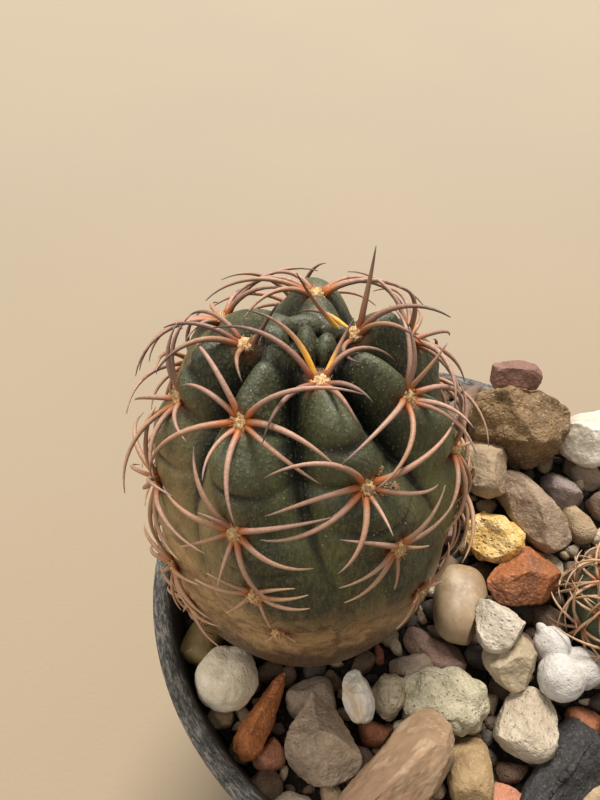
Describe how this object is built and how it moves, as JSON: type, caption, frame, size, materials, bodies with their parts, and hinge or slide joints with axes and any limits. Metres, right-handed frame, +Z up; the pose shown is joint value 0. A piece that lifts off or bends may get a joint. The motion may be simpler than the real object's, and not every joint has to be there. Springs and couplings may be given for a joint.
{
  "type": "potted round cactus",
  "caption": "Round ribbed cactus with curved spines in a round plastic nursery pot, with a small cactus beside it and a top dressing of mixed gravel stones.",
  "frame": {"origin": "centre of the pot's flat underside", "axes": "+Z up along the pot's axis; -Y is the front; +X is towards the small cactus"},
  "size_m": [0.0931, 0.09, 0.1359],
  "materials": {
    "pot_plastic": "weathered charcoal plastic with pale mineral bloom",
    "potting_soil": "dark crumbly soil",
    "gravel": "mixed fine gravel and grit",
    "cactus_skin": "dull dark green skin with fine pale specks, corky and tan towards the foot",
    "small_cactus_skin": "dark green skin",
    "spines": "pinkish tan horn, darker at the tips, with cream wool at the base",
    "brown_boulder": "natural stone",
    "grey_angular_stone": "natural stone",
    "long_tan_flint": "natural stone",
    "granular_cream_stone": "natural stone",
    "translucent_oval_pebble": "natural stone",
    "long_grey_tan_stone": "natural stone",
    "beige_back_stone": "natural stone",
    "white_back_stone": "natural stone",
    "slate_chip": "natural stone",
    "rust_chip": "natural stone",
    "perlite_grain": "expanded white perlite",
    "golden_nugget": "natural stone",
    "pale_round_stone": "natural stone",
    "orange_brick_chip": "natural stone",
    "pitted_white_stone": "natural stone",
    "cream_pebble": "natural stone",
    "white_knob_stone": "natural stone",
    "tan_oval_pebble": "natural stone",
    "red_brown_block": "natural stone",
    "white_quartz_pebble": "natural stone",
    "knobby_grey_pebble": "natural stone",
    "olive_pebble": "natural stone"
  },
  "bodies": {
    "root": {"pot": "pot_plastic", "potting_soil": "potting_soil", "gravel_bed": "gravel", "round_cactus": "cactus_skin", "small_cactus": "small_cactus_skin", "spines_rib1_1": "spines", "spines_rib1_2": "spines", "spines_rib1_3": "spines", "spines_rib1_4": "spines", "spines_rib1_5": "spines", "spines_rib2_1": "spines", "spines_rib2_2": "spines", "spines_rib2_3": "spines", "spines_rib2_4": "spines", "spines_rib2_5": "spines", "spines_rib3_1": "spines", "spines_rib3_2": "spines", "spines_rib3_3": "spines", "spines_rib3_4": "spines", "spines_rib4_1": "spines", "spines_rib4_2": "spines", "spines_rib4_3": "spines", "spines_rib4_4": "spines", "spines_rib5_1": "spines", "spines_rib5_2": "spines", "spines_rib5_3": "spines", "spines_rib5_4": "spines", "spines_rib6_1": "spines", "spines_rib6_2": "spines", "spines_rib6_3": "spines", "spines_rib6_4": "spines", "spines_rib6_5": "spines", "spines_rib7_1": "spines", "spines_rib7_2": "spines", "spines_rib7_3": "spines", "spines_rib7_4": "spines", "brown_boulder": "brown_boulder", "grey_angular_stone": "grey_angular_stone", "long_tan_flint": "long_tan_flint", "granular_cream_stone": "granular_cream_stone", "translucent_oval_pebble": "translucent_oval_pebble", "long_grey_tan_stone": "long_grey_tan_stone", "beige_back_stone": "beige_back_stone", "white_back_stone": "white_back_stone", "slate_chip": "slate_chip", "rust_chip": "rust_chip", "perlite_grain": "perlite_grain", "golden_nugget": "golden_nugget", "pale_round_stone": "pale_round_stone", "orange_brick_chip": "orange_brick_chip", "pitted_white_stone": "pitted_white_stone", "cream_pebble": "cream_pebble", "white_knob_stone": "white_knob_stone", "tan_oval_pebble": "tan_oval_pebble", "red_brown_block": "red_brown_block", "white_quartz_pebble": "white_quartz_pebble", "knobby_grey_pebble": "knobby_grey_pebble", "olive_pebble": "olive_pebble"}
  },
  "joints": []
}
